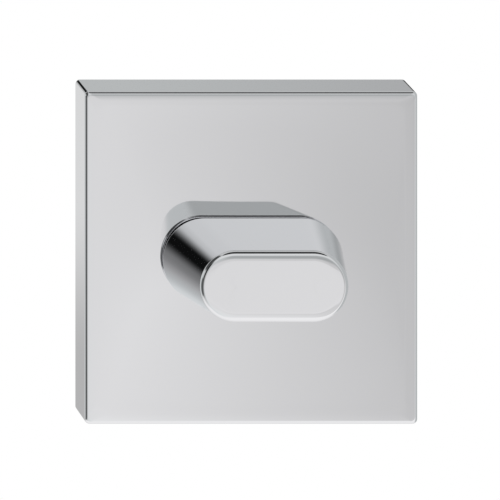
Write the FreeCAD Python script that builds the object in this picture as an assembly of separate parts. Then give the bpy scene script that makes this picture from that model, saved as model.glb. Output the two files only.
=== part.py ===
import FreeCAD, Part
import math
import os

# Thumb turn on a square rose, for the inside of a bathroom door. Millimetres.
# The origin is on the spindle's axis, in the door's face. Z is up, the room is towards -Y,
# and "out" is the distance from the door's face towards the room.

# Fits and small allowances
running_clearance = 0.05     # radial, a turning barrel in its ring or bush
socket_clearance = 0.05      # each side, spindle in its square sockets
seat_gap = 0.05              # between faces that slide past each other
loose_gap = 0.15             # between faces that never meet
screw_clearance = 0.2        # radial, a screw's shank in a plain hole
tiny = 0.001                 # tolerance when edges are picked by place
overcut = 1.0                # how far a cutter passes a face

# Rose cover
rose_width = 52.0
rose_height = 52.0
rose_depth = 10.0
cover_side_wall = 1.2
cover_front_wall = 1.2
cover_corner_radius = 0.4
cover_front_radius = 0.5
cover_inner_radius = 0.8
cover_fit = 0.2              # each side, cover over the base plate
cover_post_radius = 2.0
cover_post_inset = 3.4       # from the cavity's side to the post's axis
crush_rib_width = 1.5
crush_rib_offset = 15.0      # from the middle of each side

# Turn knob, an obround that tapers from its foot to its face
knob_gap = 0.8               # between the knob and the rose
knob_projection = 21.0
knob_foot_length = 28.3
knob_foot_height = 13.0
knob_face_length = 22.6
knob_face_height = 11.0
knob_face_radius = 1.0
knob_foot_radius = 0.5

# Guide ring in the cover's front wall, around the knob's neck
neck_radius = 5.0
guide_wall = 0.95
guide_flange_width = 1.5
guide_flange_thickness = 0.55

# Cam hub, which carries the spindle's drive, the detent and the stop
barrel_radius = 5.0
cam_thickness = 1.8
cam_corner_radius = 1.5
hub_land = 0.7               # behind the retaining ring's groove
hub_recess = 0.2             # hub's end behind the door's face
stop_radius = 0.9
stop_rim = 0.6               # between the stop peg and the cam's corner
stop_groove_wall = 0.85      # between the bush's flange and the stop groove
stop_length = 1.1
stop_rest_angle = 135.0      # where the peg lies at rest, from +X towards +Z
turn_angle = 90.0

# Detent springs and the keeper plate over them
spring_thickness = 0.35
spring_width = 1.5
spring_tail = 0.6
post_radius = 1.0
post_offset = 3.0            # from the cam's flat, along the spring, to each post
keeper_thickness = 0.6
keeper_rim = 2.2             # from the keeper screws and posts to the keeper's edge
keeper_corner_radius = 3.0
keeper_boss_radius = 2.0
keeper_boss_gap = 0.8        # between the bosses and the cam's turning corners
keeper_screw_radius = 1.0
keeper_screw_head_radius = 1.6
keeper_screw_length = 3.0

# Bearing bush and what holds the hub in it
bush_wall = 1.45
bush_flange_width = 0.8
bush_flange_thickness = 0.6
thrust_washer_thickness = 0.5
thrust_washer_width = 3.2
wave_sheet = 0.3
wave_rise = 0.5
wave_count = 3
wave_width = 2.6
retaining_ring_thickness = 0.8
retaining_ring_width = 1.8
retaining_groove_depth = 0.4
retaining_ring_opening = 3.2
retaining_ear_radius = 1.3
retaining_ear_hole = 0.5
recess_wall_gap = 0.5        # around the thrust washer

# Base plate and its fixings
plate_corner_radius = 1.2
bolt_inset = 5.6             # from the plate's edge; the bolts are 38 mm apart
bolt_radius = 2.0
bolt_thread_radius = 1.8      # behind the door's face, at the thread's mean diameter
bolt_head_radius = 4.0
bolt_length = 25.0
bolt_tip = 0.5
bolt_sink = 0.1
bolt_slot_length = 4.4
bolt_slot_width = 0.9
bolt_slot_depth = 1.2
wood_screw_inset = 7.6       # from the plate's edges
wood_screw_radius = 1.9
wood_screw_head_radius = 3.4
pocket_side = 8.6
pocket_depth = 3.4
pocket_inset = 9.0           # from the plate's edge to the pocket's middle

# Spindle and the grub screws
spindle_side = 5.0
spindle_corner = 0.3
spindle_tip = 0.8
spindle_behind_door = 60.0
spindle_in_knob = 13.7
grub_end_gap = 0.2
knob_grub_radius = 2.0
knob_grub_inset = 5.7        # from the knob's foot
knob_grub_length = 3.4
knob_grub_key = 2.0
cover_grub_radius = 1.5
cover_grub_out = 2.8
cover_grub_across = 10.0     # beside the lower fixing bolt
cover_grub_length = 3.5
cover_grub_key = 1.5
cover_grub_sink = 0.3
key_depth = 1.4

# Places along the axis, from the rose's face back to the door
cover_inner = rose_depth - cover_front_wall
guide_back = cover_inner - guide_flange_thickness
keeper_front = guide_back - seat_gap
keeper_back = keeper_front - keeper_thickness
cam_front = keeper_back - loose_gap
cam_back = cam_front - cam_thickness
plate_front = cam_back - seat_gap
ring_back = hub_recess + hub_land
ring_front = ring_back + retaining_ring_thickness
wave_back = ring_front + seat_gap
wave_front = wave_back + wave_sheet + wave_rise
thrust_back = wave_front + seat_gap
recess_depth = thrust_back + thrust_washer_thickness

# Places from the knob
knob_foot = rose_depth + knob_gap
knob_face = knob_foot + knob_projection
neck_back = keeper_front + loose_gap + seat_gap
spindle_front = knob_foot + spindle_in_knob
knob_grub_out = knob_foot + knob_grub_inset

# Sizes across the axis
plate_width = rose_width - 2 * (cover_side_wall + cover_fit)
plate_height = rose_height - 2 * (cover_side_wall + cover_fit)
bolt_reach = plate_height / 2 - bolt_inset
guide_radius = neck_radius + running_clearance + guide_wall
bush_bore = barrel_radius + running_clearance
bush_radius = bush_bore + bush_wall
bush_flange_radius = bush_radius + bush_flange_width
thrust_bore = barrel_radius + loose_gap
recess_radius = thrust_bore + thrust_washer_width + recess_wall_gap
stop_reach = bush_flange_radius + stop_groove_wall + loose_gap + stop_radius
cam_sweep = stop_reach + stop_radius + stop_rim
cam_flat = (cam_sweep - cam_corner_radius) / math.sqrt(2) + cam_corner_radius
post_reach = cam_flat + post_offset
keeper_screw_reach = cam_sweep + keeper_boss_gap + keeper_boss_radius
hook_inner = post_radius + seat_gap
hook_outer = hook_inner + spring_thickness
post_height = cam_flat + hook_outer
socket_side = spindle_side + 2 * socket_clearance

OUTWARD = FreeCAD.Vector(0, -1, 0)
UPWARD = FreeCAD.Vector(0, 0, 1)


def point(across, out, up):
    """A point from its place across the door, out from it and up."""
    return FreeCAD.Vector(across, -out, up)


def polar(radius, angle, out, across=0.0, up=0.0):
    """A point on a circle around an axis square to the door; +X is 0 and +Z is 90 degrees."""
    turn = math.radians(angle)
    return point(across + radius * math.cos(turn), out, up + radius * math.sin(turn))


def disc(radius, back, front, across=0.0, up=0.0):
    return Part.makeCylinder(radius, front - back, point(across, back, up), OUTWARD)


def cone(back_radius, front_radius, back, front, across=0.0, up=0.0):
    return Part.makeCone(back_radius, front_radius, front - back, point(across, back, up), OUTWARD)


def ring(outer_radius, inner_radius, back, front):
    bore = disc(inner_radius, back - overcut, front + overcut)
    return disc(outer_radius, back, front).cut(bore)


def block(width, height, back, front, across=0.0, up=0.0):
    corner = point(across - width / 2, front, up - height / 2)
    return Part.makeBox(width, front - back, height, corner)


def rounded_block(width, height, radius, back, front):
    """A block with its four edges along the axis rounded."""
    plain = block(width, height, back, front)
    upright = [edge for edge in plain.Edges if edge.BoundBox.YLength > front - back - tiny]
    return plain.makeFillet(radius, upright)


def edges_at(shape, out):
    """The edges that lie wholly at one distance out from the door."""
    return [
        edge for edge in shape.Edges
        if abs(edge.BoundBox.YMin + out) < tiny and abs(edge.BoundBox.YMax + out) < tiny
    ]


def hexagon(across_flats, low, high, out, across):
    """A hexagonal prism along Z for a key's socket."""
    reach = across_flats / 2 / math.cos(math.radians(30))
    corners = []
    for step in range(7):
        turn = math.radians(60 * step)
        corners.append(point(across + reach * math.cos(turn), out + reach * math.sin(turn), low))
    face = Part.Face(Part.makePolygon(corners))
    return face.extrude(UPWARD * (high - low))


def arc_slot(mid_radius, half_width, first, last, back, front):
    """A curved slot with round ends, around the axis, between two angles."""
    middle = (first + last) / 2
    outer = mid_radius + half_width
    inner = mid_radius - half_width
    first_end = polar(mid_radius, first, back)
    last_end = polar(mid_radius, last, back)
    first_tip = first_end + polar(half_width, first - 90, 0)
    last_tip = last_end + polar(half_width, last + 90, 0)
    arcs = [
        Part.Arc(polar(outer, first, back), polar(outer, middle, back), polar(outer, last, back)),
        Part.Arc(polar(outer, last, back), last_tip, polar(inner, last, back)),
        Part.Arc(polar(inner, last, back), polar(inner, middle, back), polar(inner, first, back)),
        Part.Arc(polar(inner, first, back), first_tip, polar(outer, first, back)),
    ]
    face = Part.Face(Part.Wire([arc.toShape() for arc in arcs]))
    return face.extrude(OUTWARD * (front - back))


def corners_of(reach_across, reach_up):
    """The four places at equal reaches either side of the axis."""
    return [(side * reach_across, level * reach_up) for side in (-1, 1) for level in (-1, 1)]


def rose_cover():
    """Square cover, open at the back, with posts and ribs that seat it on the base plate."""
    cover = rounded_block(rose_width, rose_height, cover_corner_radius, 0, rose_depth)
    cover = cover.makeFillet(cover_front_radius, edges_at(cover, rose_depth))
    cavity_width = rose_width - 2 * cover_side_wall
    cavity_height = rose_height - 2 * cover_side_wall
    cavity = rounded_block(cavity_width, cavity_height, cover_inner_radius, -overcut, cover_inner)
    cover = cover.cut(cavity)
    post_across = cavity_width / 2 - cover_post_inset
    post_up = cavity_height / 2 - cover_post_inset
    for across, up in corners_of(post_across, post_up):
        cover = cover.fuse(disc(cover_post_radius, plate_front, cover_inner, across, up))
    for side in (-1, 1):
        for offset in (-crush_rib_offset, crush_rib_offset):
            wall_x = side * (cavity_width - cover_fit) / 2
            wall_z = side * (cavity_height - cover_fit) / 2
            cover = cover.fuse(block(cover_fit, crush_rib_width, 0, plate_front, wall_x, offset))
            cover = cover.fuse(block(crush_rib_width, cover_fit, 0, plate_front, offset, wall_z))
    cover = cover.cut(disc(guide_radius, cover_inner - overcut, rose_depth + overcut))
    return cover.cut(cover_grub_hole()).removeSplitter()


def cover_grub_hole():
    """The tapped hole for the cover's grub screw, up through the bottom wall into the plate."""
    low = -rose_height / 2 - overcut
    top = -rose_height / 2 + cover_grub_sink + cover_grub_length + grub_end_gap
    start = point(cover_grub_across, cover_grub_out, low)
    return Part.makeCylinder(cover_grub_radius, top - low, start, UPWARD)


def base_plate():
    """Cast plate that is bolted to the door and carries the bush, the posts and the bosses."""
    plate = rounded_block(plate_width, plate_height, plate_corner_radius, 0, plate_front)
    plate = plate.cut(disc(recess_radius, -overcut, recess_depth))
    plate = plate.cut(disc(bush_radius, -overcut, plate_front + overcut))
    plate = plate.cut(disc(bush_flange_radius, plate_front - bush_flange_thickness, plate_front + overcut))
    for across, up in corners_of(plate_width / 2 - wood_screw_inset, plate_height / 2 - wood_screw_inset):
        plate = plate.cut(countersunk(
            wood_screw_radius, wood_screw_head_radius,
            -overcut, plate_front, plate_front + overcut,
            across, up))
    for side in (-1, 1):
        pocket_across = side * (plate_width / 2 - pocket_inset)
        plate = plate.cut(block(pocket_side, pocket_side, -overcut, pocket_depth, pocket_across, 0))
        plate = plate.cut(countersunk(
            bolt_radius + screw_clearance, bolt_head_radius + screw_clearance,
            -overcut, plate_front - bolt_sink, plate_front + overcut,
            0, side * bolt_reach))
        boss = disc(keeper_boss_radius, plate_front - seat_gap, keeper_back, side * keeper_screw_reach, 0)
        plate = plate.fuse(boss).cut(keeper_screw_hole(side))
    for across, up in corners_of(post_reach, post_height):
        plate = plate.fuse(disc(post_radius, plate_front - seat_gap, keeper_back, across, up))
    plate = plate.cut(stop_groove())
    return plate.cut(cover_grub_hole()).removeSplitter()


def countersunk(shank_radius, head_radius, back, head_front, front, across, up):
    """A solid of a countersunk hole: shank, cone at 90 degrees, and clear space over it."""
    head_back = head_front - (head_radius - shank_radius)
    shank = disc(shank_radius, back, head_front, across, up)
    head = cone(shank_radius, head_radius, head_back, head_front, across, up)
    return shank.fuse([head, disc(head_radius, head_front, front, across, up)])


def stop_groove():
    """The groove in the plate that lets the hub's stop peg travel from rest to fully turned."""
    return arc_slot(
        stop_reach, stop_radius + loose_gap,
        stop_rest_angle - turn_angle, stop_rest_angle,
        plate_front - stop_length, plate_front + overcut)


def obround(length, height, out):
    """A closed outline with straight sides and half-round ends."""
    radius = height / 2
    reach = length / 2 - radius
    upper_left = point(-reach, out, radius)
    upper_right = point(reach, out, radius)
    lower_right = point(reach, out, -radius)
    lower_left = point(-reach, out, -radius)
    right_end = Part.Arc(upper_right, point(length / 2, out, 0), lower_right)
    left_end = Part.Arc(lower_left, point(-length / 2, out, 0), upper_left)
    return Part.Wire([
        Part.LineSegment(upper_left, upper_right).toShape(),
        right_end.toShape(),
        Part.LineSegment(lower_right, lower_left).toShape(),
        left_end.toShape(),
    ])


def turn_knob():
    """Tapered obround knob with a neck, a square socket and a grub screw hole underneath."""
    foot = obround(knob_foot_length, knob_foot_height, knob_foot)
    face = obround(knob_face_length, knob_face_height, knob_face)
    knob = Part.makeLoft([foot, face], True, True)
    knob = knob.makeFillet(knob_face_radius, edges_at(knob, knob_face))
    knob = knob.makeFillet(knob_foot_radius, edges_at(knob, knob_foot))
    knob = knob.fuse(disc(neck_radius, neck_back, knob_foot + seat_gap))
    knob = knob.cut(block(socket_side, socket_side, neck_back - overcut, spindle_front + loose_gap))
    grub_hole_top = -spindle_side / 2
    low = -knob_foot_height
    start = point(0, knob_grub_out, low)
    return knob.cut(Part.makeCylinder(knob_grub_radius, grub_hole_top - low, start, UPWARD)).removeSplitter()


def grub_screw(radius, length, key, low, out, across):
    """Grub screw along Z, its key socket opening downwards."""
    screw = Part.makeCylinder(radius, length, point(across, out, low), UPWARD)
    return screw.cut(hexagon(key, low - overcut, low + key_depth, out, across))


def knob_grub_screw():
    low = -spindle_side / 2 - knob_grub_length
    return grub_screw(knob_grub_radius, knob_grub_length, knob_grub_key, low, knob_grub_out, 0)


def cover_grub_screw():
    low = -rose_height / 2 + cover_grub_sink
    return grub_screw(
        cover_grub_radius, cover_grub_length, cover_grub_key,
        low, cover_grub_out, cover_grub_across)


def spindle():
    """Square bar with broken corners and a tapered tip that enters the lock's follower."""
    bar = block(spindle_side, spindle_side, -spindle_behind_door, spindle_front)
    bar = bar.makeChamfer(spindle_tip, edges_at(bar, -spindle_behind_door))
    longest = max(edge.Length for edge in bar.Edges)
    corners = [edge for edge in bar.Edges if edge.Length > longest - tiny]
    return bar.makeChamfer(spindle_corner, corners)


def guide_ring():
    """Flanged plastic ring that centres the knob's neck in the cover."""
    bore = neck_radius + running_clearance
    sleeve = ring(guide_radius, bore, guide_back, rose_depth)
    flange = ring(guide_radius + guide_flange_width, bore, guide_back, cover_inner)
    return sleeve.fuse(flange).removeSplitter()


def cam_hub():
    """Barrel with a square cam, a stop peg, a retaining groove and the spindle's socket."""
    hub = disc(barrel_radius, hub_recess, keeper_front)
    cam = rounded_block(2 * cam_flat, 2 * cam_flat, cam_corner_radius, cam_back, cam_front)
    peg_place = polar(stop_reach, stop_rest_angle, 0)
    peg_back = plate_front - stop_length + loose_gap
    peg = disc(stop_radius, peg_back, cam_back + seat_gap, peg_place.x, peg_place.z)
    groove = ring(
        barrel_radius + overcut, barrel_radius - retaining_groove_depth,
        ring_back - seat_gap, ring_front + seat_gap)
    socket = block(socket_side, socket_side, -overcut, keeper_front + overcut)
    return hub.fuse([cam, peg]).cut(groove).cut(socket).removeSplitter()


def bearing_bush():
    """Flanged plastic bush pressed into the base plate."""
    sleeve = ring(bush_radius, bush_bore, recess_depth, plate_front)
    flange = ring(bush_flange_radius, bush_bore, plate_front - bush_flange_thickness, plate_front)
    return sleeve.fuse(flange).removeSplitter()


def thrust_washer():
    return ring(thrust_bore + thrust_washer_width, thrust_bore, thrust_back, recess_depth)


def wave_washer():
    """Spring washer whose sheet rises and falls evenly round the barrel."""
    middle = wave_back + wave_rise / 2
    rims = []
    for radius in (thrust_bore, thrust_bore + wave_width):
        places = []
        for step in range(8 * wave_count):
            angle = 360 * step / (8 * wave_count)
            rise = wave_rise / 2 * math.cos(math.radians(wave_count * angle))
            places.append(polar(radius, angle, middle + rise))
        curve = Part.BSplineCurve()
        curve.interpolate(Points=places, PeriodicFlag=True)
        rims.append(curve.toShape())
    sheet = Part.makeRuledSurface(rims[0], rims[1])
    return sheet.extrude(OUTWARD * wave_sheet)


def retaining_ring():
    """Open spring ring with two holed ears, snapped into the hub's groove."""
    inner = barrel_radius - retaining_groove_depth + seat_gap
    outer = inner + retaining_ring_width
    clip = ring(outer, inner, ring_back, ring_front)
    opening = block(retaining_ring_opening, outer, ring_back - overcut, ring_front + overcut, 0, -outer)
    clip = clip.cut(opening)
    ear_across = retaining_ring_opening / 2 + retaining_ear_radius
    for side in (-1, 1):
        across = side * ear_across
        ear = disc(retaining_ear_radius, ring_back, ring_front, across, -outer)
        hole = disc(retaining_ear_hole, ring_back - overcut, ring_front + overcut, across, -outer)
        clip = clip.fuse(ear).cut(hole)
    return clip.removeSplitter()


def detent_spring(level):
    """Flat spring on one of the cam's flats, its ends hooked round two posts."""
    back = (plate_front + keeper_back - spring_width) / 2
    near = cam_flat
    far = cam_flat + spring_thickness
    centre = post_height
    tail = centre + spring_tail

    def hook(side, radius):
        """The arc from the spring's blade up round the outer side of a post."""
        low = point(side * post_reach, back, centre - radius)
        bend = polar(radius, -45 if side > 0 else 225, back, side * post_reach, centre)
        high = point(side * (post_reach + radius), back, centre)
        return Part.Arc(low, bend, high).toShape()

    def line(first, last):
        start = point(first[0], back, first[1])
        return Part.LineSegment(start, point(last[0], back, last[1])).toShape()

    edges = [line((-post_reach, near), (post_reach, near)), line((-post_reach, far), (post_reach, far))]
    for side in (-1, 1):
        outer = side * (post_reach + hook_outer)
        inner = side * (post_reach + hook_inner)
        edges += [hook(side, hook_outer), hook(side, hook_inner)]
        edges += [line((outer, centre), (outer, tail)), line((inner, centre), (inner, tail))]
        edges.append(line((outer, tail), (inner, tail)))
    outline = Part.Wire(Part.sortEdges(edges)[0])
    spring = Part.Face(outline).extrude(OUTWARD * spring_width)
    if level < 0:
        spring = spring.mirror(FreeCAD.Vector(0, 0, 0), UPWARD)
    return spring


def keeper_screw_hole(side):
    """The tapped hole in one of the base plate's bosses."""
    across = side * keeper_screw_reach
    back = keeper_front - keeper_screw_length - grub_end_gap
    return disc(keeper_screw_radius, back, keeper_front + overcut, across, 0)


def keeper_plate():
    """Thin plate over the cam and the springs, screwed to two bosses."""
    width = 2 * (keeper_screw_reach + keeper_rim)
    height = 2 * (post_height + keeper_rim)
    plate = rounded_block(width, height, keeper_corner_radius, keeper_back, keeper_front)
    plate = plate.cut(disc(barrel_radius + loose_gap, keeper_back - overcut, keeper_front + overcut))
    for side in (-1, 1):
        plate = plate.cut(countersunk(
            keeper_screw_radius, keeper_screw_head_radius,
            keeper_back - overcut, keeper_front, keeper_front + overcut,
            side * keeper_screw_reach, 0))
    return plate


def keeper_screws():
    """The two small countersunk screws in the keeper plate."""
    screws = []
    for side in (-1, 1):
        back = keeper_front - keeper_screw_length
        across = side * keeper_screw_reach
        screw = disc(keeper_screw_radius, back, keeper_front, across, 0)
        head_back = keeper_front - (keeper_screw_head_radius - keeper_screw_radius)
        head = cone(keeper_screw_radius, keeper_screw_head_radius, head_back, keeper_front, across, 0)
        screws.append(screw.fuse(head).removeSplitter())
    return Part.makeCompound(screws)


def fixing_bolts():
    """The two countersunk bolts that pull the base plate to the door."""
    bolts = []
    front = plate_front - bolt_sink
    for side in (-1, 1):
        up = side * bolt_reach
        tip = front - bolt_length
        thread = disc(bolt_thread_radius, tip, 0, 0, up)
        thread = thread.makeChamfer(bolt_tip, edges_at(thread, tip))
        shank = disc(bolt_radius, 0, front, 0, up)
        head = cone(bolt_radius, bolt_head_radius, front - (bolt_head_radius - bolt_radius), front, 0, up)
        bolt = shank.fuse([thread, head])
        slot_back = front - bolt_slot_depth
        bolt = bolt.cut(block(bolt_slot_length, bolt_slot_width, slot_back, front + overcut, 0, up))
        bolt = bolt.cut(block(bolt_slot_width, bolt_slot_length, slot_back, front + overcut, 0, up))
        bolts.append(bolt.removeSplitter())
    return Part.makeCompound(bolts)


pieces = {
    "base_plate": base_plate(),
    "fixing_bolts": fixing_bolts(),
    "bearing_bush": bearing_bush(),
    "cam_hub": cam_hub(),
    "thrust_washer": thrust_washer(),
    "wave_washer": wave_washer(),
    "retaining_ring": retaining_ring(),
    "detent_spring_upper": detent_spring(1),
    "detent_spring_lower": detent_spring(-1),
    "keeper_plate": keeper_plate(),
    "keeper_screws": keeper_screws(),
    "rose_cover": rose_cover(),
    "cover_grub_screw": cover_grub_screw(),
    "guide_ring": guide_ring(),
    "turn_knob": turn_knob(),
    "spindle": spindle(),
    "knob_grub_screw": knob_grub_screw(),
}

os.makedirs("parts", exist_ok=True)
for name, shape in pieces.items():
    shape.exportStep("parts/" + name + ".step")
    state = "valid" if shape.isValid() else "not valid"
    print(name, len(shape.Solids), "solids,", state, round(shape.Volume, 2), "mm3")
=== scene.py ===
import math
from functools import partial

import bmesh
import bpy
from mathutils import Matrix, Vector


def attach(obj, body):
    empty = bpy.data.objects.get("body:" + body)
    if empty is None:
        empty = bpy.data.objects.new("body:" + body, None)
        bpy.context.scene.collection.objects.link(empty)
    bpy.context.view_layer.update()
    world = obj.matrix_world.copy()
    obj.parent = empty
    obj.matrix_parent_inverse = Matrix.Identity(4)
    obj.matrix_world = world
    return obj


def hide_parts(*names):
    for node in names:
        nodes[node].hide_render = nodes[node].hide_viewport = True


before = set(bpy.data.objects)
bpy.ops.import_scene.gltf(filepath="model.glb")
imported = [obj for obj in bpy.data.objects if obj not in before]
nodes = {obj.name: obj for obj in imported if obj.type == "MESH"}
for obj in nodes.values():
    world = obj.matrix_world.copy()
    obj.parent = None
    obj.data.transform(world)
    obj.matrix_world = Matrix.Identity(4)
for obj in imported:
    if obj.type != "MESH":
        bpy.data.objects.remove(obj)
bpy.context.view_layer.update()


# Base plate.
# Die-cast zinc, dull and slightly grainy, with a tumbled bloom on its faces.
# It is bolted to the door and carries everything behind the rose.

MM = 0.001


def link_or_set(tree, socket, value):
    """A number or colour is set on the socket, and an output is linked to it."""
    if isinstance(value, bpy.types.NodeSocket):
        tree.links.new(value, socket)
    else:
        socket.default_value = value


def calc(tree, operation, *values):
    """One Math node of the tree; its result."""
    node = tree.nodes.new("ShaderNodeMath")
    node.operation = operation
    for socket, value in zip(node.inputs, values):
        link_or_set(tree, socket, value)
    return node.outputs[0]


def span(tree, value, low, high, to_low, to_high, kind="LINEAR"):
    """One Map Range node, kept between its two ends; its result."""
    node = tree.nodes.new("ShaderNodeMapRange")
    node.interpolation_type = kind
    node.clamp = True
    names = ("Value", "From Min", "From Max", "To Min", "To Max")
    for name, number in zip(names, (value, low, high, to_low, to_high)):
        link_or_set(tree, node.inputs[name], number)
    return node.outputs[0]


def noise(tree, scale, detail, stretch):
    """A noise over the object's own metres; its height from 0 to 1."""
    place = tree.nodes.new("ShaderNodeTexCoord").outputs["Object"]
    if stretch != (1, 1, 1):
        mapping = tree.nodes.new("ShaderNodeMapping")
        mapping.inputs["Scale"].default_value = stretch
        tree.links.new(place, mapping.inputs["Vector"])
        place = mapping.outputs["Vector"]
    node = tree.nodes.new("ShaderNodeTexNoise")
    node.inputs["Scale"].default_value = scale
    node.inputs["Detail"].default_value = detail
    tree.links.new(place, node.inputs["Vector"])
    return node.outputs["Fac"]


def blend(tree, amount, first, second):
    """A colour between two, each a colour or another node's result, by the amount."""
    node = tree.nodes.new("ShaderNodeMix")
    node.data_type = "RGBA"
    link_or_set(tree, node.inputs[0], amount)
    for socket, colour in ((node.inputs[6], first), (node.inputs[7], second)):
        whole = colour if isinstance(colour, bpy.types.NodeSocket) else (*colour, 1)
        link_or_set(tree, socket, whole)
    return node.outputs[2]


def surface(name, light, dark, rough, metallic, colour_scale, rough_scale,
            bump_scale=0, bump_depth=0, stretch=(1, 1, 1)):
    """A material whose colour, roughness and relief each vary over their own scale."""
    material = bpy.data.materials.new(name)
    material.use_nodes = True
    tree = material.node_tree
    shader = tree.nodes["Principled BSDF"]
    shader.inputs["Metallic"].default_value = metallic
    patches = span(tree, noise(tree, colour_scale, 4, stretch), 0.35, 0.65, 0, 1)
    tree.links.new(blend(tree, patches, dark, light), shader.inputs["Base Color"])
    wear = span(tree, noise(tree, rough_scale, 3, stretch), 0.3, 0.7, *rough)
    tree.links.new(wear, shader.inputs["Roughness"])
    if bump_scale:
        bump = tree.nodes.new("ShaderNodeBump")
        bump.inputs["Strength"].default_value = 1
        bump.inputs["Distance"].default_value = bump_depth
        tree.links.new(noise(tree, bump_scale, 4, stretch), bump.inputs["Height"])
        tree.links.new(bump.outputs["Normal"], shader.inputs["Normal"])
    return material


def dress(name, material):
    """Gives a piece that keeps its CAD mesh its finish."""
    node = nodes[name]
    node.data.materials.clear()
    node.data.materials.append(material)


cast_zinc = surface(
    "cast_zinc", light=(0.52, 0.53, 0.54), dark=(0.40, 0.41, 0.42), rough=(0.42, 0.6), metallic=1,
    colour_scale=140, rough_scale=500, bump_scale=1500, bump_depth=0.03 * MM)
dress("base_plate", cast_zinc)


# Fixing bolts.
# Two countersunk steel machine screws, cold headed and bright zinc plated.
# They clamp the base plate and run through the door, above and below the spindle.

zinc_plate = surface(
    "zinc_plated_steel", light=(0.74, 0.76, 0.79), dark=(0.62, 0.64, 0.68), rough=(0.2, 0.34),
    metallic=1, colour_scale=300, rough_scale=900, bump_scale=2500, bump_depth=0.008 * MM)
dress("fixing_bolts", zinc_plate)


# Bearing bush.
# A flanged bush, moulded in pale natural nylon.
# It is pressed into the base plate and the hub's barrel turns in it.

nylon = surface(
    "natural_nylon", light=(0.80, 0.78, 0.72), dark=(0.74, 0.72, 0.65), rough=(0.35, 0.5),
    metallic=0, colour_scale=90, rough_scale=400, bump_scale=1200, bump_depth=0.01 * MM)
dress("bearing_bush", nylon)


# Cam hub.
# Barrel, square cam and stop peg in one piece of sintered steel, dark, finely pitted and oiled.
# It turns in the bush, and the spindle passes through its square socket.

sintered = surface(
    "sintered_steel", light=(0.30, 0.30, 0.31), dark=(0.20, 0.20, 0.21), rough=(0.34, 0.5),
    metallic=1, colour_scale=500, rough_scale=700, bump_scale=3500, bump_depth=0.03 * MM)
dress("cam_hub", sintered)


# Washers and retaining ring.
# A zinc plated steel washer, then a wave washer and an open ring stamped from dark spring strip.
# The ring snaps into the hub's groove and keeps the hub in the bush.

spring_steel = surface(
    "spring_steel", light=(0.36, 0.37, 0.39), dark=(0.25, 0.26, 0.29), rough=(0.22, 0.36),
    metallic=1, colour_scale=400, rough_scale=900, bump_scale=2500, bump_depth=0.008 * MM)
dress("thrust_washer", zinc_plate)
dress("wave_washer", spring_steel)
dress("retaining_ring", spring_steel)


# Detent springs.
# Two bent lengths of flat spring strip, one on each side of the cam.
# They are hooked round the base plate's posts and press on the cam's flats.

dress("detent_spring_upper", spring_steel)
dress("detent_spring_lower", spring_steel)


# Keeper plate and its screws.
# Stamped from rolled and plated sheet with a faint grain.
# Two zinc plated screws hold it over the cam and the springs.

rolled_sheet = surface(
    "rolled_plated_sheet", light=(0.70, 0.72, 0.75), dark=(0.58, 0.60, 0.63), rough=(0.24, 0.38),
    metallic=1, colour_scale=120, rough_scale=700, bump_scale=900, bump_depth=0.006 * MM,
    stretch=(1, 1, 12))
dress("keeper_plate", rolled_sheet)
dress("keeper_screws", zinc_plate)


# Rose cover.
# Pressed and polished square cover in bright chrome, with a soft roll just inside its front edges.
# It is held to the base plate by a grub screw from below.

polished_chrome = surface(
    "polished_chrome", light=(0.828, 0.8265, 0.842), dark=(0.820, 0.8185, 0.834),
    rough=(0.015, 0.04), metallic=1, colour_scale=25, rough_scale=120)

ROSE_HALF = 26 * MM
ROSE_DEPTH = 10 * MM
CAVITY_HALF = 24.8 * MM
CAVITY_DEPTH = 8.8 * MM
CAVITY_CORNER = 0.8 * MM
HOLE_RADIUS = 6 * MM
GRUB_ACROSS = 10 * MM
GRUB_OUT = 2.8 * MM
GRUB_RADIUS = 1.5 * MM
GRUB_CUT_FROM = -30 * MM
GRUB_CUT_TO = -23 * MM
WELD = 1e-7
HARD_EDGE = math.radians(30)
CORNER_STEPS = 8
SIDE_STEPS = 20
PAIRS = [(1, 1), (-1, 1), (-1, -1), (1, -1)]


def ease(t):
    """From 0 to 1, slow at both ends, so the first and last steps are short."""
    return t * t * t * (t * (6 * t - 15) + 10)


def square_loop(half, radius, out):
    """Points round a square with rounded corners, all at one distance from the door."""
    points = []
    reach = half - radius
    for quarter in range(4):
        across, up = PAIRS[quarter]
        for step in range(CORNER_STEPS + 1):
            turn = math.pi / 2 * (quarter + step / CORNER_STEPS)
            x = across * reach + radius * math.cos(turn)
            z = up * reach + radius * math.sin(turn)
            points.append((x, z))
        after_across, after_up = PAIRS[(quarter + 1) % 4]
        turn = math.pi / 2 * (quarter + 1)
        x_last, z_last = points[-1]
        x_goal = after_across * reach + radius * math.cos(turn)
        z_goal = after_up * reach + radius * math.sin(turn)
        for step in range(1, SIDE_STEPS):
            t = ease(step / SIDE_STEPS)
            points.append((x_last + t * (x_goal - x_last), z_last + t * (z_goal - z_last)))
    return [Vector((x, -out, z)) for x, z in points]


def round_loop(like, radius, out):
    """A circle with its points in the same directions as another loop's."""
    return [Vector((p.x, 0, p.z)).normalized() * radius + Vector((0, -out, 0)) for p in like]


def tube(mesh, loops):
    """Joins each loop of points to the next with quads, and the last to the first."""
    rows = [[mesh.verts.new(p) for p in loop] for loop in loops]
    rows.append(rows[0])
    for first, second in zip(rows, rows[1:]):
        for i in range(len(first)):
            k = (i + 1) % len(first)
            mesh.faces.new((first[i], first[k], second[k], second[i]))


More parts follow.
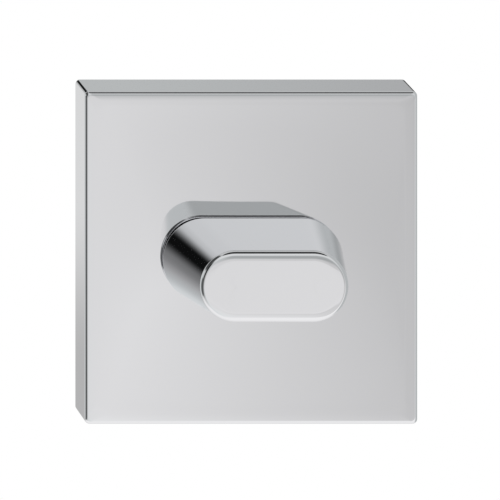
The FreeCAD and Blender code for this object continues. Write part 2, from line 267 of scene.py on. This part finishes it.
def new_piece(name, mesh, material):
    """An object from a bmesh, its faces outward and its hard edges kept hard."""
    bmesh.ops.remove_doubles(mesh, verts=mesh.verts, dist=WELD)
    bmesh.ops.recalc_face_normals(mesh, faces=mesh.faces)
    for face in mesh.faces:
        face.smooth = True
    for edge in mesh.edges:
        edge.smooth = len(edge.link_faces) == 2 and edge.calc_face_angle() < HARD_EDGE
    data = bpy.data.meshes.new(name)
    mesh.to_mesh(data)
    mesh.free()
    data.materials.append(material)
    piece = bpy.data.objects.new(name, data)
    bpy.context.scene.collection.objects.link(piece)
    return piece


def evaluated_mesh(piece):
    """The piece's mesh with its modifiers applied."""
    bpy.context.view_layer.update()
    finished = piece.evaluated_get(bpy.context.evaluated_depsgraph_get())
    return bpy.data.meshes.new_from_object(finished)


def combine(piece, cutter, operation):
    """Cuts or adds the cutter's solid, then drops the cutter."""
    change = piece.modifiers.new("change", "BOOLEAN")
    change.object = cutter
    change.operation = operation
    change.solver = "EXACT"
    data = evaluated_mesh(piece)
    piece.modifiers.remove(change)
    piece.data = data
    bpy.data.objects.remove(cutter)


def rod(start, end, radius, steps=48):
    """A plain closed cylinder between two points, as a cutter."""
    mesh = bmesh.new()
    along = end - start
    turn = along.to_track_quat("Z", "Y").to_matrix().to_4x4()
    place = Matrix.Translation((start + end) / 2) @ turn
    bmesh.ops.create_cone(mesh, cap_ends=True, segments=steps, radius1=radius, radius2=radius,
                          depth=along.length, matrix=place)
    return new_piece("cutter", mesh, polished_chrome)


CORNER = 0.75 * MM
ARRIS = 0.5 * MM
ARRIS_STEPS = 8
CROWN = 0.33 * MM
CROWN_HALF = 24 * MM
FRONT_INSET = 0.15 * MM
FRONT_CORNER = 1.6 * MM
FRONT_STEPS = 24
ROLL_WIDTH = 1.7 * MM
ROLL_DROP = 0.055 * MM
ROLL_CORNER = 1 * MM
ROLL_STEPS = 8
# A loop this close beside an edge keeps the shading flat up to it
BESIDE = 0.1 * MM


def crowned(p):
    """The front's slight crown, level again at its edges."""
    across = min(1, abs(p.x) / CROWN_HALF)
    up = min(1, abs(p.z) / CROWN_HALF)
    rise = CROWN * (1 - across ** 2) * math.cos(math.pi / 2 * up) ** 2
    return Vector((p.x, p.y - rise, p.z))


loops = []
shoulder = ROSE_DEPTH - ROLL_DROP
slope = 2 * ROLL_DROP / ROLL_WIDTH
for out in (0, BESIDE, ROSE_DEPTH / 2, shoulder - ARRIS - BESIDE, shoulder - ARRIS):
    loops.append(square_loop(ROSE_HALF, CORNER, out))
tilt = math.atan(slope)
for step in range(1, ARRIS_STEPS + 1):
    angle = (math.pi / 2 - tilt) * step / ARRIS_STEPS
    inset = ARRIS * (1 - math.cos(angle))
    out = shoulder - ARRIS + ARRIS * math.sin(angle)
    loops.append(square_loop(ROSE_HALF - inset, CORNER, out))
first_inset = inset
first_out = out
for step in range(1, ROLL_STEPS + 1):
    t = step / ROLL_STEPS
    inset = first_inset + ROLL_WIDTH * t
    out = first_out + (ROSE_DEPTH - first_out) * (1 - (1 - t) ** 2)
    loops.append(square_loop(ROSE_HALF - inset, CORNER + t * ROLL_CORNER, out))
hold = square_loop(ROSE_HALF - inset - FRONT_INSET, FRONT_CORNER, ROSE_DEPTH)
rim = round_loop(hold, HOLE_RADIUS + BESIDE, ROSE_DEPTH)
for step in range(FRONT_STEPS + 1):
    loops.append([crowned(a.lerp(b, step / FRONT_STEPS)) for a, b in zip(hold, rim)])
loops.append(round_loop(hold, HOLE_RADIUS, ROSE_DEPTH - BESIDE))
loops.append(round_loop(hold, HOLE_RADIUS, CAVITY_DEPTH))
loops.append(square_loop(CAVITY_HALF, CAVITY_CORNER, CAVITY_DEPTH))
loops.append(square_loop(CAVITY_HALF, CAVITY_CORNER, 0))
mesh = bmesh.new()
tube(mesh, loops)
cover = new_piece("rose_cover_polished", mesh, polished_chrome)
grub_from = Vector((GRUB_ACROSS, -GRUB_OUT, GRUB_CUT_FROM))
grub_to = Vector((GRUB_ACROSS, -GRUB_OUT, GRUB_CUT_TO))
combine(cover, rod(grub_from, grub_to, GRUB_RADIUS), "DIFFERENCE")
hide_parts("rose_cover")
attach(cover, "rose")

dress("cover_grub_screw", spring_steel)


# Guide ring.
# A flanged ring of the same pale nylon as the bush.
# It is pressed into the cover, flush with its front, and centres the knob's neck.

dress("guide_ring", nylon)


# Turn knob.
# Cast, ground and chromed: a tapered obround, with a shallow shoulder along the long sides of its
# face. It is held to the spindle by a grub screw from below.

KNOB = {
    "Foot Length": 28.3 * MM,
    "Foot Height": 13.13 * MM,
    "Face Length": 22.8 * MM,
    "Face Height": 11.0 * MM,
    "Foot Out": 11.3 * MM,
    "Projection": 20.5 * MM,
    "Face Radius": 0.7 * MM,
    "Shoulder Width": 1.2 * MM,
    "Shoulder Angle": math.radians(16),
    "Foot Radius": 0.4 * MM,
}
NECK_BACK = 8.4 * MM
NECK_FRONT = 11.4 * MM
NECK_RADIUS = 5 * MM
NECK_STEPS = 96
SOCKET_CENTRE = 16.0 * MM
SOCKET_LENGTH = 17.3 * MM
SOCKET_SIDE = 5.1 * MM
KNOB_GRUB_OUT = 16.5 * MM
KNOB_GRUB_FROM = -9 * MM
KNOB_GRUB_TO = -2.2 * MM
KNOB_GRUB_RADIUS = 2 * MM
# How fast the shoulder fades round the ends, by an even power, and how fast it runs out level
FADE_POWER = 4
LEVEL_POWER = 3
# The last ring before the face closes is this share of the one outside it
CLOSING_SHARE = 0.97
CAP_STEPS = 64
FLAT_STEPS = 8
ROUND_STEPS = 12
WALL_STEPS = 8
FILLET_STEPS = 10
SHOULDER_STEPS = 12


def knob_tree():
    """Nodes that lay a grid round a tapered obround, from mid foot to mid face."""
    tree = bpy.data.node_groups.new("tapered_obround", "GeometryNodeTree")
    for name in KNOB:
        tree.interface.new_socket(name, in_out="INPUT", socket_type="NodeSocketFloat")
    tree.interface.new_socket("Material", in_out="INPUT", socket_type="NodeSocketMaterial")
    tree.interface.new_socket("Mesh", in_out="OUTPUT", socket_type="NodeSocketGeometry")
    given = tree.nodes.new("NodeGroupInput").outputs
    add, subtract, multiply, divide, sine, cosine = (
        partial(calc, tree, name)
        for name in ("ADD", "SUBTRACT", "MULTIPLY", "DIVIDE", "SINE", "COSINE"))

    # One column of the grid runs up the knob, one row runs round it
    foot_steps = 1
    face_steps = 2
    rings = foot_steps + ROUND_STEPS + WALL_STEPS + FILLET_STEPS + SHOULDER_STEPS + face_steps + 1
    around = 2 * (CAP_STEPS + FLAT_STEPS)
    grid = tree.nodes.new("GeometryNodeMeshGrid")
    grid.inputs["Vertices X"].default_value = around + 1
    grid.inputs["Vertices Y"].default_value = rings
    index = tree.nodes.new("GeometryNodeInputIndex").outputs[0]
    step = calc(tree, "FLOOR", divide(index, rings))
    ring = subtract(index, multiply(step, rings))

    # Round the obround: the normal's angle, and which end the point belongs to
    half_turn = math.pi / 2
    flat_end = CAP_STEPS + FLAT_STEPS
    right = span(tree, step, 0, CAP_STEPS, -half_turn, half_turn)
    left = span(tree, step, flat_end, flat_end + CAP_STEPS, 0, math.pi)
    angle = add(right, left)
    top = span(tree, step, CAP_STEPS, flat_end, 1, -1, "SMOOTHERSTEP")
    bottom = span(tree, step, flat_end + CAP_STEPS, around, 0, 2, "SMOOTHERSTEP")
    side = add(top, bottom)

    # How the obround's end radius and reach fall from foot to face
    foot_radius = divide(given["Foot Height"], 2)
    face_radius = divide(given["Face Height"], 2)
    foot_reach = divide(subtract(given["Foot Length"], given["Foot Height"]), 2)
    face_reach = divide(subtract(given["Face Length"], given["Face Height"]), 2)
    radius_fall = divide(subtract(foot_radius, face_radius), given["Projection"])
    reach_fall = divide(subtract(foot_reach, face_reach), given["Projection"])
    aside = calc(tree, "ABSOLUTE", cosine(angle))
    lean = calc(tree, "ARCTANGENT", add(radius_fall, multiply(reach_fall, aside)))

    def rounding(height, ball, from_angle, to_angle, first, steps):
        """A ring's radius, reach and height where a ball of a radius rolls along the outline."""
        share = span(tree, ring, first, first + steps, 0, 1)
        turn = add(from_angle, multiply(share, subtract(to_angle, from_angle)))
        radius = subtract(foot_radius, multiply(radius_fall, height))
        radius = subtract(radius, divide(ball, cosine(lean)))
        radius = add(radius, multiply(ball, cosine(turn)))
        reach = subtract(foot_reach, multiply(reach_fall, height))
        return radius, reach, add(height, multiply(ball, sine(turn)))

    # The shoulder is on the long sides and fades out round the ends
    fade = calc(tree, "POWER", sine(angle), FADE_POWER)
    bevel = multiply(given["Shoulder Angle"], fade)
    wall_first = foot_steps + ROUND_STEPS
    wall_last = wall_first + WALL_STEPS
    drop = divide(multiply(given["Shoulder Width"], calc(tree, "TANGENT", bevel)), LEVEL_POWER)
    ball_rise = multiply(given["Face Radius"], cosine(bevel))
    face_height = subtract(subtract(given["Projection"], drop), ball_rise)
    face_turn = subtract(half_turn, bevel)
    low = rounding(given["Foot Radius"], given["Foot Radius"], -half_turn, lean,
                   foot_steps, ROUND_STEPS)
    high = rounding(face_height, given["Face Radius"], lean, face_turn, wall_last, FILLET_STEPS)
    along = span(tree, ring, wall_first, wall_last, 0, 1, "SMOOTHERSTEP")
    radius, reach, height = [
        add(a, multiply(along, subtract(b, a)))
        for a, b in zip(low, high)]

    # The face's buffed shoulder runs out level
    fillet_end = wall_last + FILLET_STEPS
    shoulder = span(tree, ring, fillet_end, fillet_end + SHOULDER_STEPS, 0, 1)
    level = subtract(1, calc(tree, "POWER", subtract(1, shoulder), LEVEL_POWER))
    radius = subtract(radius, multiply(shoulder, given["Shoulder Width"]))
    height = add(height, multiply(level, drop))

    # The flat foot and face close towards the obround's middle line
    shoulder_end = fillet_end + SHOULDER_STEPS
    closing = span(tree, ring, 0, foot_steps, 0, 1)
    closing = multiply(closing, span(tree, ring, shoulder_end, shoulder_end + 1, 1, CLOSING_SHARE))
    closing = multiply(closing, span(tree, ring, shoulder_end + 1, shoulder_end + face_steps, 1, 0))
    radius = multiply(radius, closing)

    place = tree.nodes.new("ShaderNodeCombineXYZ")
    x = add(multiply(side, reach), multiply(radius, cosine(angle)))
    y = multiply(add(given["Foot Out"], height), -1)
    z = multiply(radius, sine(angle))
    for socket, value in zip(place.inputs, (x, y, z)):
        tree.links.new(value, socket)
    move = tree.nodes.new("GeometryNodeSetPosition")
    tree.links.new(grid.outputs["Mesh"], move.inputs["Geometry"])
    tree.links.new(place.outputs[0], move.inputs["Position"])
    merge = tree.nodes.new("GeometryNodeMergeByDistance")
    merge.inputs["Distance"].default_value = WELD
    tree.links.new(move.outputs["Geometry"], merge.inputs["Geometry"])
    realize = tree.nodes.new("GeometryNodeRealizeInstances")
    tree.links.new(merge.outputs["Geometry"], realize.inputs["Geometry"])
    paint = tree.nodes.new("GeometryNodeSetMaterial")
    tree.links.new(realize.outputs["Geometry"], paint.inputs["Geometry"])
    tree.links.new(given["Material"], paint.inputs["Material"])
    tree.links.new(paint.outputs["Geometry"], tree.nodes.new("NodeGroupOutput").inputs[0])
    return tree


knob = bpy.data.objects.new("turn_knob_polished", bpy.data.meshes.new("turn_knob_polished"))
bpy.context.scene.collection.objects.link(knob)
shape = knob.modifiers.new("shape", "NODES")
shape.node_group = knob_tree()
for item in shape.node_group.interface.items_tree:
    if item.in_out == "INPUT":
        shape[item.identifier] = polished_chrome if item.name == "Material" else KNOB[item.name]
made = evaluated_mesh(knob)
bpy.data.objects.remove(knob)
mesh = bmesh.new()
mesh.from_mesh(made)
bmesh.ops.dissolve_degenerate(mesh, dist=WELD, edges=mesh.edges)
knob = new_piece("turn_knob_polished", mesh, polished_chrome)
neck = rod(Vector((0, -NECK_BACK, 0)), Vector((0, -NECK_FRONT, 0)), NECK_RADIUS, NECK_STEPS)
combine(knob, neck, "UNION")
mesh = bmesh.new()
socket_size = Matrix.Diagonal((SOCKET_SIDE, SOCKET_LENGTH, SOCKET_SIDE, 1))
bmesh.ops.create_cube(mesh, size=1, matrix=Matrix.Translation((0, -SOCKET_CENTRE, 0)) @ socket_size)
combine(knob, new_piece("cutter", mesh, polished_chrome), "DIFFERENCE")
grub_from = Vector((0, -KNOB_GRUB_OUT, KNOB_GRUB_FROM))
grub_to = Vector((0, -KNOB_GRUB_OUT, KNOB_GRUB_TO))
combine(knob, rod(grub_from, grub_to, KNOB_GRUB_RADIUS), "DIFFERENCE")
mesh = bmesh.new()
mesh.from_mesh(knob.data)
bpy.data.objects.remove(knob)
knob = new_piece("turn_knob_polished", mesh, polished_chrome)
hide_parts("turn_knob")
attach(knob, "turn")


# Spindle and the knob's grub screw.
# A square bar of bright drawn steel, with a grain along it, that turns the bolt in the door.
# A dark socket screw in the knob's underside bears on it.

drawn_bar = surface(
    "drawn_steel_bar", light=(0.70, 0.72, 0.75), dark=(0.58, 0.60, 0.63), rough=(0.22, 0.36),
    metallic=1, colour_scale=150, rough_scale=700, bump_scale=900, bump_depth=0.006 * MM,
    stretch=(8, 1, 8))
dress("spindle", drawn_bar)
dress("knob_grub_screw", spring_steel)


# Studio.
# A pale floor below, and a room that the chrome mirrors: pale all round, with dark flags to both
# sides, and three screens, one in front and two behind. The room is white to the camera.

def stage_plane(name, corner, width, height, material):
    """A plane of the studio, from one corner and two sides."""
    mesh = bmesh.new()
    corners = (corner, corner + width, corner + width + height, corner + height)
    mesh.faces.new([mesh.verts.new(p) for p in corners])
    data = bpy.data.meshes.new(name)
    mesh.to_mesh(data)
    mesh.free()
    data.materials.append(material)
    plane = bpy.data.objects.new(name, data)
    bpy.context.scene.collection.objects.link(plane)
    return plane


def toward(azimuth, elevation):
    """The direction at an angle to the right of straight out from the door, and above it."""
    turn = math.radians(azimuth)
    rise = math.radians(elevation)
    return (math.sin(turn) * math.cos(rise), -math.cos(turn) * math.cos(rise), math.sin(rise))


def lobe(tree, direction, azimuth, elevation, inner, outer, kind="SMOOTHSTEP"):
    """1 within an angle of a direction, falling to 0 at a wider one."""
    node = tree.nodes.new("ShaderNodeVectorMath")
    node.operation = "DOT_PRODUCT"
    tree.links.new(direction, node.inputs[0])
    node.inputs[1].default_value = toward(azimuth, elevation)
    angle = calc(tree, "ARCCOSINE", node.outputs["Value"])
    return span(tree, angle, math.radians(inner), math.radians(outer), 1, 0, kind)


# The room's level at each angle over the top: straight ahead is 0, overhead 90, behind 180 and
# underfoot -90
OVER = [
    (-180, 0.54), (-171, 0.62), (-150, 0.7), (-100, 0.92), (-60, 1.0), (-30, 1.0),
    (-22, 0.95), (-18, 0.905), (-16, 0.875), (-14.2, 0.862), (-12.3, 0.862), (-10.6, 0.80),
    (-9, 0.80), (-4, 0.77), (0, 0.79), (8, 0.81), (17, 0.825), (28, 0.79),
    (60, 0.7), (100, 0.62), (150, 0.52), (168.6, 0.50), (180, 0.54)]
# Less red than green and blue, above the level and in the flags
UPPER_RED = 0.98
FLAG_RED = 0.96
# What lights the matt pieces
ROOM_GREY = (0.75, 0.76, 0.77)
WHITE = (1, 1, 1)
# Each flag or lamp, in degrees: azimuth, elevation, inner and outer angle, and then its level
PLACES = [
    (95, 0, 45, 60, 0.55, "SMOOTHSTEP"),
    (19, 60, 22, 27, 0.04, "SMOOTHSTEP"),
    (-8, -24, 6, 20, 0.83, "SMOOTHSTEP"),
    (-45, -3, 8, 43.5, 0.1, "LINEAR"),
    (-105, -5, 28, 38, 0.7, "SMOOTHSTEP"),
    (-52, -12, 13, 20, 0.09, "SMOOTHSTEP"),
    (-76, -11, 14, 22, 0.14, "SMOOTHSTEP"),
    (-60, 42, 19, 26, 0.07, "SMOOTHSTEP"),
    (-98, 44, 19, 26, 0.07, "SMOOTHSTEP"),
    (-36, 15, 9.5, 20, 0.006, "SMOOTHSTEP"),
    (24, 2, 5, 17, 0.6, "SMOOTHSTEP"),
    (10, 3, 4, 11, 0.47, "SMOOTHSTEP"),
    (-2, 1.5, 4, 9.5, 0.63, "SMOOTHSTEP"),
    (-173.5, 11.8, 6.8, 8.4, 0.012, "SMOOTHSTEP"),
    (175.7, 15, 3.4, 5, 1.0, "SMOOTHSTEP"),
    (163.3, 1, 9.8, 11.3, 0.06, "SMOOTHSTEP"),
]

world = bpy.data.worlds.new("studio")
bpy.context.scene.world = world
world.use_nodes = True
tree = world.node_tree
tree.nodes.clear()
direction = tree.nodes.new("ShaderNodeTexCoord").outputs["Generated"]
split = tree.nodes.new("ShaderNodeSeparateXYZ")
tree.links.new(direction, split.inputs[0])
over = calc(tree, "ARCTAN2", split.outputs["Z"], calc(tree, "MULTIPLY", split.outputs["Y"], -1))
ramp = tree.nodes.new("ShaderNodeValToRGB")
while len(ramp.color_ramp.elements) > 1:
    ramp.color_ramp.elements.remove(ramp.color_ramp.elements[0])
for number, (angle, level) in enumerate(OVER):
    position = (angle + 180) / 360
    element = ramp.color_ramp.elements[0] if number == 0 else ramp.color_ramp.elements.new(position)
    element.position = position
    element.color = (level * (UPPER_RED if angle > 0 else 1), level, level, 1)
tree.links.new(calc(tree, "ADD", calc(tree, "DIVIDE", over, 2 * math.pi), 0.5), ramp.inputs[0])
light = ramp.outputs["Color"]
for azimuth, elevation, inner, outer, level, kind in PLACES:
    amount = lobe(tree, direction, azimuth, elevation, inner, outer, kind)
    light = blend(tree, amount, light, (FLAG_RED * level, level, level))

path = tree.nodes.new("ShaderNodeLightPath").outputs
mirrored = blend(tree, path["Is Glossy Ray"], ROOM_GREY, light)
background = tree.nodes.new("ShaderNodeBackground")
seen = blend(tree, path["Is Camera Ray"], mirrored, WHITE)
tree.links.new(seen, background.inputs["Color"])
tree.links.new(background.outputs[0], tree.nodes.new("ShaderNodeOutputWorld").inputs["Surface"])


def screen(name, corner, width, height, shader, paint):
    """An upright plane that only the polished metal shows, coloured over its X and Z."""
    material = bpy.data.materials.new(name)
    material.use_nodes = True
    tree = material.node_tree
    tree.nodes.clear()
    place = tree.nodes.new("ShaderNodeSeparateXYZ")
    tree.links.new(tree.nodes.new("ShaderNodeTexCoord").outputs["Object"], place.inputs[0])
    node = tree.nodes.new(shader)
    tree.links.new(paint(tree, place.outputs["X"], place.outputs["Z"]), node.inputs["Color"])
    output = tree.nodes.new("ShaderNodeOutputMaterial")
    tree.links.new(node.outputs[0], output.inputs["Surface"])
    plane = stage_plane(name, Vector(corner), Vector((width, 0, 0)), Vector((0, 0, height)), material)
    plane.visible_camera = False
    plane.visible_shadow = False
    plane.visible_diffuse = False


def band(tree, value, rise, fall):
    """0, then 1 between two soft edges, then 0 again."""
    up = span(tree, value, *rise, 0, 1, "SMOOTHSTEP")
    down = span(tree, value, *fall, 1, 0, "SMOOTHSTEP")
    return calc(tree, "MULTIPLY", up, down)


def front_paint(tree, x, z):
    """Denser towards the right, with a clear window for the knob's own reflection."""
    fall = span(tree, x, 0.007, 0.065, 0, 1)
    fade = span(tree, x, 0.10, 0.14, 1, 0, "SMOOTHSTEP")
    upright = band(tree, z, (-0.112, -0.098), (-0.01, 0.02))
    window = calc(tree, "MULTIPLY",
                  band(tree, x, (0.013, 0.017), (0.041, 0.045)),
                  band(tree, z, (-0.048, -0.044), (-0.029, -0.025)))
    amount = calc(tree, "MULTIPLY", calc(tree, "MULTIPLY", fall, fade), upright)
    amount = calc(tree, "MULTIPLY", amount, calc(tree, "SUBTRACT", 1, window))
    return blend(tree, amount, WHITE, (0.75, 0.75, 0.75))


def side_paint(tree, x, z):
    """Darker towards its foot."""
    fall = span(tree, z, -0.022, -0.052, 0, 1, "SMOOTHSTEP")
    return blend(tree, fall, (0.745, 0.75, 0.75), (0.495, 0.495, 0.495))


def top_paint(tree, x, z):
    """Darker towards the right."""
    fall = span(tree, x, 0.005, 0.055, 0, 1)
    return blend(tree, fall, (0.52, 0.539, 0.539), (0.44, 0.449, 0.453))


# The screen in front for the rose's front, and those behind for its left and top sides
screen("graduated_screen", (0.0, -0.2, -0.13), 0.15, 0.16, "ShaderNodeBsdfTransparent", front_paint)
screen("side_screen", (-0.09, 0.15, -0.08), 0.06, 0.105, "ShaderNodeEmission", side_paint)
screen("top_screen", (-0.03, 0.15, 0.045), 0.12, 0.028, "ShaderNodeEmission", top_paint)

floor_white = bpy.data.materials.new("pale_floor")
floor_white.use_nodes = True
tree = floor_white.node_tree
tree.nodes.clear()


def glow(tree, colour):
    """An even light of one colour; its shader."""
    node = tree.nodes.new("ShaderNodeEmission")
    node.inputs["Color"].default_value = (*colour, 1)
    return node.outputs[0]


def choose(tree, amount, first, second):
    """One of two shaders, by the amount."""
    node = tree.nodes.new("ShaderNodeMixShader")
    for socket, value in zip(node.inputs, (amount, first, second)):
        tree.links.new(value, socket)
    return node.outputs[0]


FLOOR_GREY = (0.9, 0.9, 0.9)
FLOOR_HALF = 3
FLOOR_DOWN = 0.26
camera_ray = tree.nodes.new("ShaderNodeLightPath").outputs["Is Camera Ray"]
above = choose(tree, camera_ray, glow(tree, FLOOR_GREY), glow(tree, WHITE))
# Seen from below, the floor is clear
underside = tree.nodes.new("ShaderNodeNewGeometry").outputs["Backfacing"]
clear = tree.nodes.new("ShaderNodeBsdfTransparent").outputs[0]
output = tree.nodes.new("ShaderNodeOutputMaterial")
tree.links.new(choose(tree, underside, above, clear), output.inputs["Surface"])
floor = stage_plane(
    "floor", Vector((-FLOOR_HALF, -FLOOR_HALF, -FLOOR_DOWN)),
    Vector((2 * FLOOR_HALF, 0, 0)), Vector((0, 2 * FLOOR_HALF, 0)), floor_white)
floor.visible_glossy = False


# Camera.
# The photograph shows the rose's front exactly square with two of its sides in sight, so the picture
# plane stays parallel to the door while the line of sight comes in from above and to the left.

PICTURE_WIDTH = 78.14 * MM
SENSOR_WIDTH = 36
target = Vector((-0.22 * MM, -ROSE_DEPTH, 1.26 * MM))
eye = target + Vector((-312 * MM, -1887 * MM, 386 * MM))
back = (eye - target).normalized()
camera = bpy.data.objects.new("camera", bpy.data.cameras.new("camera"))
mount = bpy.data.objects.new("camera_mount", None)
for item in (camera, mount):
    bpy.context.scene.collection.objects.link(item)
camera.parent = mount
camera.matrix_parent_inverse = Matrix((
    (1, 0, back.x, eye.x),
    (0, 0, back.y, eye.y),
    (0, 1, back.z, eye.z),
    (0, 0, 0, 1)))
camera.data.sensor_width = SENSOR_WIDTH
camera.data.lens = SENSOR_WIDTH * (eye - target).length / PICTURE_WIDTH
camera.data.clip_start = 0.05
bpy.context.scene.camera = camera
bpy.context.scene.view_settings.view_transform = "Standard"
